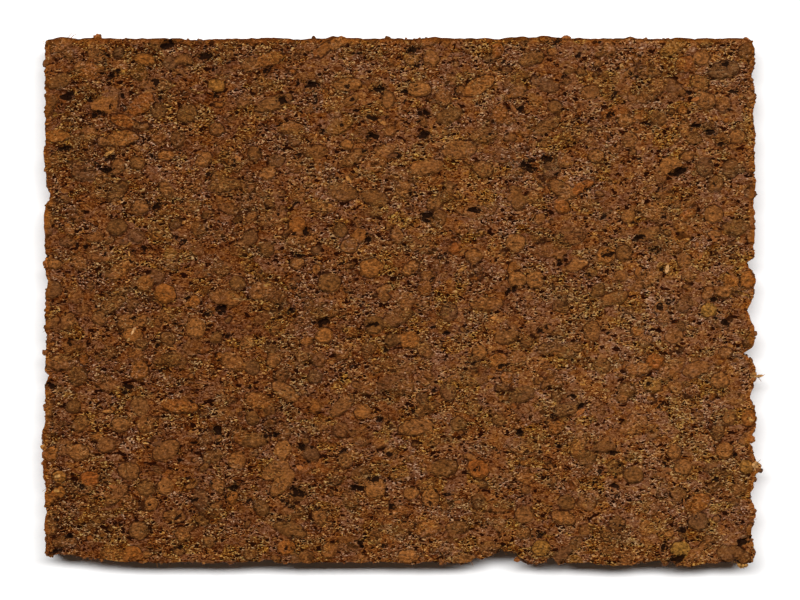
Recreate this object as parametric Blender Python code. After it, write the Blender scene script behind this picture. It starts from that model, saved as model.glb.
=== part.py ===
"""A slice of dark wholegrain rye bread, lying flat on its lower cut face.

X runs along the slice, Y across it and Z up through its thickness. The origin is at the middle of
the slice's box, on the plane that it rests on. All sizes are in metres.
"""

import math
import random
from typing import NamedTuple

import bmesh
import bpy
from mathutils import Matrix, Vector, noise
from mathutils.geometry import delaunay_2d_cdt

MM = 0.001

# Driving sizes of the slice
SLICE_LENGTH = 117.0 * MM
SLICE_WIDTH = 86.5 * MM
SLICE_THICKNESS = 7.5 * MM

# The outline: spacing of its points, the draft of its sides and the roughness of the torn crumb
OUTLINE_STEP = 1.05 * MM
SIDE_DRAFT = 0.3 * MM
LUMP_REACH_BELOW = 0.45
WALL_LEVELS = (1.0, 0.7, 0.34, 0.0)
ROUGHNESS = ((3.6 * MM, 0.20 * MM), (1.7 * MM, 0.12 * MM))

# The cut face: whole kernels stand a little proud of the crumb between them
CRUMB_BELOW_TOP = 0.30 * MM
CRUMB_WAVE = (5.5 * MM, 0.10 * MM)
CRUMB_GRAIN = (2.1 * MM, 0.07 * MM)
CRUMB_SPACING = 3.0 * MM
LOWER_SPACING = 4.2 * MM
JITTER_PITCH = 1.7
JITTER_SHARE = 0.3
KERNEL_SIDES = 8
KERNEL_SHOULDER = 0.74
KERNEL_TOP_SPREAD = 0.10 * MM
KERNEL_LENGTH = (2.4 * MM, 4.6 * MM)
KERNEL_WIDTH = (2.0 * MM, 3.2 * MM)
KERNEL_LEAN = math.radians(28)
KERNEL_COUNT = 110

# Pores are small pits that open on the cut faces
PORE_SIDES = 6
PORE_FLOOR_SIZE = 0.5
PORE_FLOOR_DEPTH = 0.85
PORE_SIZE = (0.9 * MM, 1.7 * MM)
PORE_DEPTH_SHARE = 0.9
PORE_COUNT = 46
LOWER_PORE_COUNT = 24
FLAT_REST_RADIUS = 7.0 * MM

# Free space that is kept between neighbouring spots, and between them and the outline
SPOT_GAP = 0.35 * MM
RIM_GAP = 0.7 * MM
CRUMB_GAP = 0.55 * MM

SEED = 1107
MERGE_DISTANCE = 0.001 * MM

CRUMB_COLOUR = (0.135, 0.048, 0.016, 1.0)
CRUMB_ROUGHNESS = 0.78


class Corner(NamedTuple):
    """A rounded corner of the outline, by the signs of its X and Y and its radius."""

    x_sign: int
    y_sign: int
    radius: float


class EdgeFeature(NamedTuple):
    """A lump (out above zero) or hollow (out below zero) in one edge, sizes in millimetres.

    at is X on the front and back edges and Y on the left and right ones; before and after are how
    far the feature runs towards the lower and the higher coordinate.
    """

    edge: str
    at: float
    out: float
    before: float
    after: float


class Spot(NamedTuple):
    """An oval kernel or pore on a cut face: centre, length, width and turn."""

    x: float
    y: float
    length: float
    width: float
    turn: float


CORNERS = (
    Corner(1, 1, 1.5 * MM),
    Corner(-1, 1, 1.2 * MM),
    Corner(-1, -1, 1.5 * MM),
    Corner(1, -1, 0.9 * MM),
)

EDGE_NORMALS = {
    "right": Vector((1, 0)),
    "left": Vector((-1, 0)),
    "back": Vector((0, 1)),
    "front": Vector((0, -1)),
}

EDGE_FEATURES = (
    # The right edge has lost crumbs, and whole kernels stand out between the hollows
    EdgeFeature("right", 37.0, -0.55, 2.0, 2.0),
    EdgeFeature("right", 30.5, -0.4, 1.5, 1.5),
    EdgeFeature("right", 15.0, -0.25, 3.5, 3.5),
    EdgeFeature("right", 6.0, -1.6, 1.3, 1.3),
    EdgeFeature("right", -1.4, -1.4, 3.0, 2.3),
    EdgeFeature("right", -8.8, -1.75, 1.6, 1.6),
    EdgeFeature("right", -15.8, -0.8, 1.8, 2.2),
    EdgeFeature("right", -19.4, 0.4, 1.6, 1.6),
    EdgeFeature("right", -23.5, -0.6, 3.0, 3.0),
    EdgeFeature("right", -27.5, 1.15, 1.4, 1.4),
    EdgeFeature("right", -32.0, -0.75, 2.5, 2.5),
    EdgeFeature("right", -38.5, -0.7, 2.5, 2.5),
    # The left edge is nearly straight
    EdgeFeature("left", 37.7, 0.45, 1.1, 1.1),
    EdgeFeature("left", 16.6, -0.9, 1.0, 3.5),
    EdgeFeature("left", 2.7, -0.6, 0.8, 1.5),
    EdgeFeature("left", -7.0, -0.3, 2.0, 2.0),
    EdgeFeature("left", -12.3, -0.45, 1.0, 1.0),
    EdgeFeature("left", -25.5, 0.5, 7.0, 7.0),
    # The back edge carries loose flakes
    EdgeFeature("back", -55.8, 0.4, 1.2, 1.2),
    EdgeFeature("back", -49.8, 0.45, 0.9, 0.9),
    EdgeFeature("back", -33.0, -0.2, 5.0, 5.0),
    EdgeFeature("back", -10.9, 0.6, 1.0, 1.0),
    EdgeFeature("back", 5.9, 0.3, 1.0, 1.0),
    EdgeFeature("back", 23.0, 0.3, 10.0, 10.0),
    EdgeFeature("back", 38.3, 0.4, 1.0, 1.0),
    # The front edge rises to its left corner and has one deep notch with a steep side
    EdgeFeature("front", -58.5, -1.4, 1.0, 17.0),
    EdgeFeature("front", -21.8, -0.6, 1.6, 1.6),
    EdgeFeature("front", 2.0, 0.5, 1.8, 1.8),
    EdgeFeature("front", 12.4, -0.6, 0.9, 0.9),
    EdgeFeature("front", 19.0, -2.1, 8.5, 1.1),
    EdgeFeature("front", 22.0, 0.3, 1.4, 1.6),
    EdgeFeature("front", 25.0, -1.1, 1.1, 1.1),
    EdgeFeature("front", 36.0, 0.4, 5.0, 5.0),
    EdgeFeature("front", 42.0, -0.5, 2.0, 1.2),
    EdgeFeature("front", 47.5, 0.6, 4.0, 5.0),
    EdgeFeature("front", 56.4, 0.7, 1.1, 1.1),
)

# Kernels that stand out on the upper face: x, y, length and width in mm, turn in degrees
NOTED_KERNELS = (
    (19.4, 3.4, 2.8, 2.7, 0),
    (22.6, 3.4, 2.8, 2.7, 0),
    (46.4, -41.0, 3.3, 2.9, 0),
    (23.2, -40.6, 3.0, 2.6, 0),
    (2.6, -20.9, 5.9, 2.6, 8),
    (-4.1, -30.9, 3.6, 3.4, 0),
    (12.9, -27.8, 3.6, 3.0, -20),
    (20.5, -35.4, 3.2, 3.0, 0),
    (49.3, -36.5, 3.3, 3.0, 15),
    (38.6, -28.8, 3.3, 3.0, 0),
    (46.7, -27.6, 3.1, 2.9, 0),
    (53.0, -24.0, 3.0, 2.8, 0),
    (19.1, 9.5, 3.4, 3.0, 0),
    (33.8, 7.5, 2.9, 2.7, 0),
    (37.2, 7.8, 2.9, 2.6, 0),
    (-4.8, 5.4, 4.0, 3.2, 10),
    (-11.7, 2.9, 3.7, 3.2, 0),
    (-4.3, -4.0, 3.4, 3.0, 0),
    (1.6, -6.5, 3.3, 2.8, 0),
    (-12.9, -7.0, 3.0, 2.6, 15),
    (-46.7, 12.1, 3.3, 2.8, 0),
    (-33.7, -4.5, 3.4, 3.2, 0),
    (-38.8, 1.1, 3.7, 3.2, -10),
    (-44.2, -5.7, 3.4, 2.2, 0),
    (-42.2, 39.6, 3.6, 2.0, -10),
    (-35.6, 39.6, 3.0, 1.8, -15),
    (3.1, 34.9, 4.0, 2.6, 0),
    (-2.2, 33.1, 2.3, 3.0, 0),
    (-20.8, 32.6, 6.4, 2.2, 20),
    (44.7, 22.2, 3.6, 3.0, 0),
    (50.5, 32.9, 3.1, 2.9, 0),
    (51.8, 14.3, 3.1, 2.9, 0),
    (42.1, -10.1, 3.1, 2.7, 0),
    (52.3, -13.3, 3.0, 2.7, 0),
    (-51.2, -29.5, 3.2, 2.8, 0),
    (-43.1, -37.8, 3.3, 3.0, 0),
    (-18.8, -39.8, 3.0, 2.4, 0),
)

# The larger pores of the upper face, in the same form
NOTED_PORES = (
    (-30.2, -21.5, 1.6, 2.0, 0),
    (-12.7, -3.7, 2.2, 1.6, 25),
    (-15.5, 11.3, 1.5, 1.6, 0),
    (-5.3, 10.3, 1.3, 1.5, 0),
    (26.2, 6.0, 0.9, 2.3, -15),
    (-39.9, 15.8, 2.1, 1.0, 15),
    (-29.4, -1.2, 2.0, 1.3, 10),
    (-48.3, 21.5, 2.3, 1.2, 15),
    (-14.0, 33.2, 0.9, 2.0, 0),
    (43.2, -38.2, 1.4, 1.5, 0),
    (-52.0, 8.7, 1.4, 1.3, 0),
    (-28.5, -6.5, 1.4, 1.3, 0),
    (-51.0, 33.4, 1.4, 1.2, 0),
    (-35.8, 9.8, 1.3, 1.2, 0),
    (-3.3, -18.2, 1.3, 1.1, 0),
    (51.0, 0.1, 1.3, 1.2, 0),
    (-25.1, -33.1, 1.4, 1.1, 20),
    (43.6, 13.9, 1.2, 1.3, 0),
    (34.8, 30.6, 1.3, 1.1, 0),
)


def clear_scene():
    for item in list(bpy.data.objects):
        bpy.data.objects.remove(item, do_unlink=True)


def bump(distance, reach):
    """A smooth rise from 0 at reach to 1 at the middle."""
    if abs(distance) >= reach:
        return 0.0
    return math.cos(0.5 * math.pi * distance / reach) ** 2


def base_outline():
    """Points and outward directions round the plain rounded rectangle, anticlockwise."""
    half = Vector((SLICE_LENGTH / 2, SLICE_WIDTH / 2))
    arcs = []
    for corner in CORNERS:
        inset = half - Vector((corner.radius, corner.radius))
        centre = Vector((corner.x_sign * inset.x, corner.y_sign * inset.y))
        start = math.atan2(corner.y_sign, corner.x_sign) - math.radians(45)
        steps = max(2, round(math.radians(90) * corner.radius / OUTLINE_STEP))
        angles = [start + math.radians(90) * k / steps for k in range(steps + 1)]
        directions = [Vector((math.cos(a), math.sin(a))) for a in angles]
        arcs.append([(centre + corner.radius * d, d) for d in directions])
    outline = []
    for arc, following in zip(arcs, arcs[1:] + arcs[:1]):
        outline.extend(arc)
        start, direction = arc[-1]
        end = following[0][0]
        steps = round((end - start).length / OUTLINE_STEP)
        outline.extend((start.lerp(end, k / steps), direction) for k in range(1, steps))
    return outline


def feature_offset(point, direction, level):
    """How far lumps and hollows move an outline point outwards at a level from 0 to 1."""
    offset = 0.0
    for feature in EDGE_FEATURES:
        facing = max(0.0, direction.dot(EDGE_NORMALS[feature.edge]))
        along = point.y if feature.edge in ("left", "right") else point.x
        distance = along - feature.at * MM
        reach = (feature.after if distance > 0 else feature.before) * MM
        strength = 1.0
        if feature.out > 0:
            strength = LUMP_REACH_BELOW + (1 - LUMP_REACH_BELOW) * level
        offset += feature.out * MM * bump(distance, reach) * facing**2 * strength
    return offset


def rough_offset(point, height):
    """The torn crumb's roughness at a point of the side."""
    place = Vector((point.x, point.y, height))
    return sum(size * noise.noise(place / wave) for wave, size in ROUGHNESS)


def side_ring(level):
    """The outline at one level of the side, from 0 at the bottom to 1 at the top."""
    ring = []
    for point, direction in base_outline():
        offset = feature_offset(point, direction, level)
        offset += rough_offset(point, level * SLICE_THICKNESS)
        offset -= SIDE_DRAFT * (1 - level)
        ring.append(point + direction * offset)
    return ring


def noted_spots(rows):
    """Spots from rows of x, y, length and width in millimetres and turn in degrees."""
    spots = []
    for x, y, length, width, turn in rows:
        spots.append(Spot(x * MM, y * MM, length * MM, width * MM, math.radians(turn)))
    return spots


def spot_ring(spot, sides, scale):
    """Points round an oval spot, at a share of its size."""
    centre = Vector((spot.x, spot.y))
    turn = Matrix.Rotation(spot.turn, 2)
    ring = []
    for k in range(sides):
        angle = 2 * math.pi * (k + 0.5) / sides
        point = Vector((spot.length / 2 * math.cos(angle), spot.width / 2 * math.sin(angle)))
        ring.append(centre + turn @ point * scale)
    return ring


def inside_spot(point, spot, gap):
    """Whether a point lies within gap of an oval spot."""
    away = Matrix.Rotation(-spot.turn, 2) @ (point - Vector((spot.x, spot.y)))
    return (away.x / (spot.length / 2 + gap)) ** 2 + (away.y / (spot.width / 2 + gap)) ** 2 < 1


def near_outline(point, outline, gap):
    return any((point - other).length < gap for other in outline)


def spot_fits(spot, others, outline):
    """Whether a new spot is clear of the others and of the outline."""
    reach = max(spot.length, spot.width)
    ring = spot_ring(spot, KERNEL_SIDES, 1.0)
    for other in others:
        if math.hypot(spot.x - other.x, spot.y - other.y) > (reach + max(other.length, other.width)):
            continue
        other_ring = spot_ring(other, KERNEL_SIDES, 1.0)
        if any(inside_spot(point, other, SPOT_GAP) for point in ring):
            return False
        if any(inside_spot(point, spot, SPOT_GAP) for point in other_ring):
            return False
    return not any(near_outline(point, outline, RIM_GAP) for point in ring)


def scatter(draws, spots, count, outline, draw_spot, taken):
    """Adds drawn spots to a list until it has count of them, each clear of all that are taken."""
    spots = [spot for spot in spots if spot_fits(spot, [], outline)]
    room = Vector((SLICE_LENGTH, SLICE_WIDTH)) / 2
    while len(spots) < count:
        x = draws.uniform(-room.x, room.x)
        y = draws.uniform(-room.y, room.y)
        spot = draw_spot(draws, x, y)
        inset = max(spot.length, spot.width) / 2 + RIM_GAP
        within = abs(x) < room.x - inset and abs(y) < room.y - inset
        if within and spot_fits(spot, spots + taken, outline):
            spots.append(spot)
    return spots


def draw_kernel(draws, x, y):
    """A kernel that lies nearly along the slice, as the dough was rolled."""
    turn = draws.uniform(-KERNEL_LEAN, KERNEL_LEAN)
    return Spot(x, y, draws.uniform(*KERNEL_LENGTH), draws.uniform(*KERNEL_WIDTH), turn)


def draw_pore(draws, x, y):
    """A roundish pore, turned at random."""
    turn = draws.uniform(0, math.pi)
    return Spot(x, y, draws.uniform(*PORE_SIZE), draws.uniform(*PORE_SIZE), turn)


def draw_lower_pore(draws, x, y):
    """A pore of the lower face, moved off the flat patch that the slice rests on at its middle."""
    spot = draw_pore(draws, x, y)
    if math.hypot(x, y) > FLAT_REST_RADIUS:
        return spot
    return spot._replace(x=x + 2 * FLAT_REST_RADIUS)


def crumb_height(point):
    """Height of the upper crumb surface between kernels and pores."""
    place = Vector((point.x, point.y, 0.0))
    height = SLICE_THICKNESS - CRUMB_BELOW_TOP
    for wave, size in (CRUMB_WAVE, CRUMB_GRAIN):
        height += size * noise.noise(place / wave)
    return height


def flat_height(point):
    """Height of the lower crumb surface, which is flat."""
    return 0.0


def crumb_points(outline, spots, spacing):
    """A loose field of points that fills a face between its spots and its outline."""
    points = []
    columns = int(SLICE_LENGTH / spacing)
    rows = int(SLICE_WIDTH / spacing)
    room = Vector((SLICE_LENGTH / 2 - RIM_GAP, SLICE_WIDTH / 2 - RIM_GAP))
    for row in range(-rows // 2, rows // 2 + 1):
        for column in range(-columns // 2, columns // 2 + 1):
            shift = 0.5 * (row % 2)
            place = Vector((column + shift, row, 0.0))
            jitter = noise.noise_vector(place * JITTER_PITCH) * JITTER_SHARE
            point = (place + jitter).to_2d() * spacing
            if abs(point.x) > room.x or abs(point.y) > room.y:
                continue
            if near_outline(point, outline, RIM_GAP):
                continue
            if any(inside_spot(point, spot, CRUMB_GAP) for spot in spots):
                continue
            points.append(point)
    return points


class Face:
    """Collects the points, heights and kept edges of one cut face."""

    def __init__(self, outline, surface):
        self.surface = surface
        self.points = []
        self.heights = []
        self.edges = []
        self.add_ring(outline, [surface(point) for point in outline])

    def add_point(self, point, height):
        self.points.append(point)
        self.heights.append(height)

    def add_ring(self, ring, heights):
        first = len(self.points)
        for point, height in zip(ring, heights):
            self.add_point(point, height)
        count = len(ring)
        self.edges.extend((first + k, first + (k + 1) % count) for k in range(count))

    def add_kernel(self, spot, top):
        """A low knob: a foot ring in the crumb, a shoulder ring and a middle point."""
        foot = spot_ring(spot, KERNEL_SIDES, 1.0)
        shoulder = spot_ring(spot, KERNEL_SIDES, KERNEL_SHOULDER)
        self.add_ring(foot, [self.surface(point) for point in foot])
        self.add_ring(shoulder, [top] * KERNEL_SIDES)
        self.add_point(Vector((spot.x, spot.y)), top)

    def add_pore(self, spot, depth):
        """A pit: a rim ring on the surface, a floor ring and a middle point; depth may be upward."""
        rim = spot_ring(spot, PORE_SIDES, 1.0)
        floor = spot_ring(spot, PORE_SIDES, PORE_FLOOR_SIZE)
        self.add_ring(rim, [self.surface(point) for point in rim])
        self.add_ring(floor, [self.surface(point) - PORE_FLOOR_DEPTH * depth for point in floor])
        middle = Vector((spot.x, spot.y))
        self.add_point(middle, self.surface(middle) - depth)

    def build(self, mesh, upward):
        """Triangulates the face into the mesh and returns its vertices, the outline's first."""
        found = delaunay_2d_cdt(self.points, self.edges, [], 1, MERGE_DISTANCE)
        coordinates, triangles, sources = found[0], found[2], found[3]
        vertices = [None] * len(self.points)
        for point, source in zip(coordinates, sources):
            index = source[0]
            vertices[index] = mesh.verts.new((point.x, point.y, self.heights[index]))
        ordered = [vertices[source[0]] for source in sources]
        for triangle in triangles:
            corners = [ordered[index] for index in triangle]
            mesh.faces.new(corners if upward else corners[::-1])
        return vertices


def build_slice():
    draws = random.Random(SEED)
    rings = [side_ring(level) for level in WALL_LEVELS]
    upper_outline = rings[0]
    lower_outline = rings[-1]

    kernels = scatter(draws, noted_spots(NOTED_KERNELS), KERNEL_COUNT, upper_outline, draw_kernel, [])
    pores = [spot for spot in noted_spots(NOTED_PORES) if spot_fits(spot, kernels, upper_outline)]
    pores = scatter(draws, pores, PORE_COUNT, upper_outline, draw_pore, kernels)
    lower_pores = scatter(draws, [], LOWER_PORE_COUNT, lower_outline, draw_lower_pore, [])

    upper = Face(upper_outline, crumb_height)
    for spot in kernels:
        upper.add_kernel(spot, SLICE_THICKNESS - draws.uniform(0, KERNEL_TOP_SPREAD))
    for spot in pores:
        upper.add_pore(spot, PORE_DEPTH_SHARE * max(spot.length, spot.width))
    for point in crumb_points(upper_outline, kernels + pores, CRUMB_SPACING):
        upper.add_point(point, crumb_height(point))

    lower = Face(lower_outline, flat_height)
    for spot in lower_pores:
        lower.add_pore(spot, -PORE_DEPTH_SHARE * min(spot.length, spot.width))
    for point in crumb_points(lower_outline, lower_pores, LOWER_SPACING):
        lower.add_point(point, 0.0)

    mesh = bmesh.new()
    rows = [upper.build(mesh, True)[: len(upper_outline)]]
    for ring, level in zip(rings[1:-1], WALL_LEVELS[1:-1]):
        rows.append([mesh.verts.new((point.x, point.y, level * SLICE_THICKNESS)) for point in ring])
    rows.append(lower.build(mesh, False)[: len(lower_outline)])
    for above, below in zip(rows, rows[1:]):
        for k in range(len(above)):
            following = (k + 1) % len(above)
            mesh.faces.new((above[k], below[k], below[following], above[following]))
    bmesh.ops.triangulate(mesh, faces=[face for face in mesh.faces if len(face.verts) == 4])
    centre_on_box(mesh)
    return mesh


def centre_on_box(mesh):
    """Moves the shape sideways until the middle of its box is at the origin."""
    xs = [vertex.co.x for vertex in mesh.verts]
    ys = [vertex.co.y for vertex in mesh.verts]
    middle = Vector(((min(xs) + max(xs)) / 2, (min(ys) + max(ys)) / 2, 0.0))
    bmesh.ops.translate(mesh, verts=mesh.verts, vec=-middle)


def crumb_material():
    material = bpy.data.materials.new("dark_rye_crumb")
    material.use_nodes = True
    shader = material.node_tree.nodes["Principled BSDF"]
    shader.inputs["Base Color"].default_value = CRUMB_COLOUR
    shader.inputs["Roughness"].default_value = CRUMB_ROUGHNESS
    shader.inputs["Metallic"].default_value = 0.0
    return material


def main():
    clear_scene()
    shape = build_slice()
    data = bpy.data.meshes.new("slice")
    shape.to_mesh(data)
    shape.free()
    data.materials.append(crumb_material())
    bpy.context.scene.collection.objects.link(bpy.data.objects.new("slice", data))


main()
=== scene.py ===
"""The looks of a slice of dark wholegrain rye bread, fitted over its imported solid.

Lengths are in metres. Noise and kernel fields are worked out in millimetres, as the crumb is fine.
"""

import math
import random
from typing import NamedTuple

import bpy
import numpy as np
from bpy.props import FloatProperty, FloatVectorProperty, IntProperty, PointerProperty
from mathutils import Euler, Matrix, Vector, noise
from mathutils.bvhtree import BVHTree


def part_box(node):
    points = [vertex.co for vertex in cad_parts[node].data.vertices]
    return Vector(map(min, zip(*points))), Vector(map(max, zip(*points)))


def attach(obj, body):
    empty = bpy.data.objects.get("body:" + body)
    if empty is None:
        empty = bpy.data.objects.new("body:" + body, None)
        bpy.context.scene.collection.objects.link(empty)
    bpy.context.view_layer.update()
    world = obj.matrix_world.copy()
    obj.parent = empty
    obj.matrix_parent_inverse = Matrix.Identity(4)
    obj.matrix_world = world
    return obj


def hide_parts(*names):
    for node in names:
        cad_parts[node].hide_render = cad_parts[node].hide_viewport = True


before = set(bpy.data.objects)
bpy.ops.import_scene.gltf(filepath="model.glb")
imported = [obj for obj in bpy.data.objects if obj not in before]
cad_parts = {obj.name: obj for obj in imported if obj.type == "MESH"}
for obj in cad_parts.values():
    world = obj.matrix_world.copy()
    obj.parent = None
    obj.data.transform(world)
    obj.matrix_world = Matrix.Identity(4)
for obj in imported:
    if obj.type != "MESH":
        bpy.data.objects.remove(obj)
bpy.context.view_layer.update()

bl_info = {
    "name": "Rye bread slice",
    "version": (1, 0, 0),
    "blender": (4, 5, 0),
    "location": "View3D > Sidebar > Rye slice",
    "description": "Makes a slice of dark wholegrain rye bread over its plain solid",
    "category": "Add Mesh",
}

MM = 0.001
NODE = "slice"
SLAB = "rye_crumb"
SLICE_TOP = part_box(NODE)[1].z

# The plain rectangle that the slice's outline wanders about, and its middle in the frame
PLAIN_LENGTH = 117.0 * MM
PLAIN_WIDTH = 86.5 * MM
PLAIN_CENTRE = Vector((-0.276 * MM, 0.049 * MM))
CORNER_RADIUS = 1.3 * MM

# How far inwards the outline's lumps and hollows bend the rows of the cut faces
EDGE_BLEND = 7.0 * MM
RAY_START = 6.0 * MM
RAY_LOW = 0.15 * MM
RAY_HIGH = 7.0 * MM

# Relief of the upper face: drop of the crumb below the top, then wave length and height of its noise
CRUMB_DROP = 0.30
CRUMB_WAVES = ((5.5, 0.10), (2.1, 0.09), (1.05, 0.10), (0.62, 0.08))
SIDE_WAVES = ((1.6, 0.30), (0.85, 0.42))
KERNEL_SHOULDER = 0.38
LOWER_DROP = 0.10
RIM_WEAR = 0.12
RIM_WEAR_REACH = 0.9

# Shares of the walls' relief that the back wall and the front wall's left stretch have, and the x in mm
# where that stretch ends
BACK_ROUGHNESS = 0.35
FRONT_ROUGHNESS = 0.50
SMOOTH_FRONT_END = 14.0

# How the knife met a marked kernel: how much wider its middle is than its cut, half its height, how far
# its middle lies below the top, how clearly it stands out, and how far its cut stands up
MARKED_FULLNESS = 1.03
MARKED_HALF_HEIGHT = 2.2
MARKED_SINK = 0.45
MARKED_CLEARNESS = 0.85
MARKED_LIFT = 0.2

# Kernels are packed until they nearly touch, in so many draws
CLOSENESS = 0.86
KERNEL_DRAWS = 30000
BIT_DRAWS = 16000

# Pores are all alike: no tone, fully clear, no markings
PORE_LOOK = (0.0, 1.0, 0.0)

# Pits of the torn crumb: how many scattered points lie along a mm, the smallest and largest reach of a
# pit as a share of their spacing, and its softness; a point whose reach is below zero has no pit
# The pits are bumped and also painted dark as shade
PITS = (1.7, -0.28, 0.46, 0.04)
FINE_PITS = (3.2, -0.09, 0.53, 0.04)

# A painted highlight on the lip of a pit's near side, where it would face the light; it lies this far
# from the pit in mm
LIT_LIP = (0.0, 0.14, 0.0)

# Toasting makes the rim redder and less blue
RIM_TINT = (1.32, 1.12, 0.62, 1.0)

# How often the ball that a crumb or flake starts from is split, for marked ones and for all others
MARKED_SPLITS = 3
OTHER_SPLITS = 2

# How far below the top the middles of marked flakes and of all other flakes lie, in mm
MARKED_FLAKE_SINK = 0.2
FLAKE_SINK = 0.30
FIBRE_TONE = 0.72

# Crumbs at the edges that show in the picture: x, y, z from the plain rectangle's middle, length,
# width, all in mm, turn in degrees, and tone from 0, brown, over orange to 1, yellow
MARKED_CRUMBS = (
    (-50.0, 43.5, 6.6, 1.4, 1.1, 20, 0.62),
    (-57.9, 40.2, 6.5, 2.0, 1.0, 80, 0.90),
    (-9.9, 43.2, 6.6, 2.0, 0.9, 5, 0.70),
    (58.6, -27.3, 6.75, 2.0, 1.4, 15, 0.92),
    (58.2, -23.0, 6.70, 1.2, 1.1, 0, 0.66),
    (-58.5, -8.5, 6.80, 1.0, 1.3, 90, 0.50),
    (56.6, -43.7, 6.60, 1.8, 1.0, 0, 0.88),
    (19.4, -42.8, 5.8, 1.1, 0.8, 30, 0.55),
    (-2.0, 43.5, 6.7, 0.9, 0.6, 0, 0.35),
    (27.5, 43.3, 6.6, 1.6, 1.0, 0, 0.55),
    (57.9, 3.6, 6.60, 1.3, 1.9, 80, 0.66),
    (58.4, -12.2, 6.80, 1.2, 1.0, 10, 0.80),
    (59.0, -12.5, 6.80, 2.3, 0.34, 6, 0.92),
    (58.0, -19.6, 6.70, 1.7, 1.9, 60, 0.84),
    (-58.2, 6.0, 6.65, 1.2, 1.7, 85, 0.58),
    (-58.4, -25.4, 6.70, 1.1, 1.4, 80, 0.60),
    (-58.1, -38.0, 6.70, 1.0, 1.3, 75, 0.60),
)

# Pale flakes of the upper face: x, y, length, width, turn and tone, as for the crumbs
MARKED_FLAKES = (
    (44.1, 5.2, 1.6, 0.7, 75, 0.94),
    (-44.0, -5.0, 1.6, 0.5, 60, 0.95),
    (-44.7, -6.3, 1.3, 0.4, 50, 0.90),
    (-56.2, -29.0, 1.8, 0.8, 10, 0.90),
    (-56.4, -31.5, 1.5, 0.7, -10, 0.85),
    (-2.2, -23.2, 1.2, 0.4, 20, 0.85),
    (33.4, 20.4, 1.0, 0.4, -30, 0.80),
)

# Bran fibres that stick out at the edges: start and end in mm, and how far they bow
MARKED_HAIRS = (
    ((57.6, -12.6, 6.6), (60.3, -12.2, 6.9), 0.3),
    ((58.2, -12.0, 6.5), (59.7, -13.4, 6.7), -0.2),
    ((-56.2, 42.8, 6.8), (-54.2, 44.1, 7.1), 0.3),
    ((-54.6, 42.9, 6.8), (-53.5, 44.0, 6.9), -0.2),
    ((-57.9, 41.6, 6.7), (-59.0, 42.5, 6.6), 0.2),
    ((57.9, -27.0, 6.4), (59.6, -26.3, 6.4), 0.3),
    ((55.6, -43.2, 6.1), (57.0, -44.4, 5.9), 0.2),
)

# The camera stands over the point of the slice that is in the middle of the picture
PICTURE_WIDTH_PIXELS = 800
PIXEL_SIZE = 0.165 * MM
VIEW_POINT = PLAIN_CENTRE + Vector((0.0, 0.5 * PIXEL_SIZE))
SENSOR_WIDTH = 36.0

# Light that a level white surface gives back, where 1 just shows as white
STUDIO_LIGHT = 1.22

# Half the angles under which the slice sees the key light's long side and its short side
KEY_HALF_LENGTH = math.radians(30)
KEY_HALF_WIDTH = math.radians(5.5)

# The even light is warm
FILL_COLOUR = (1.15, 0.95, 0.75, 1.0)

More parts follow.
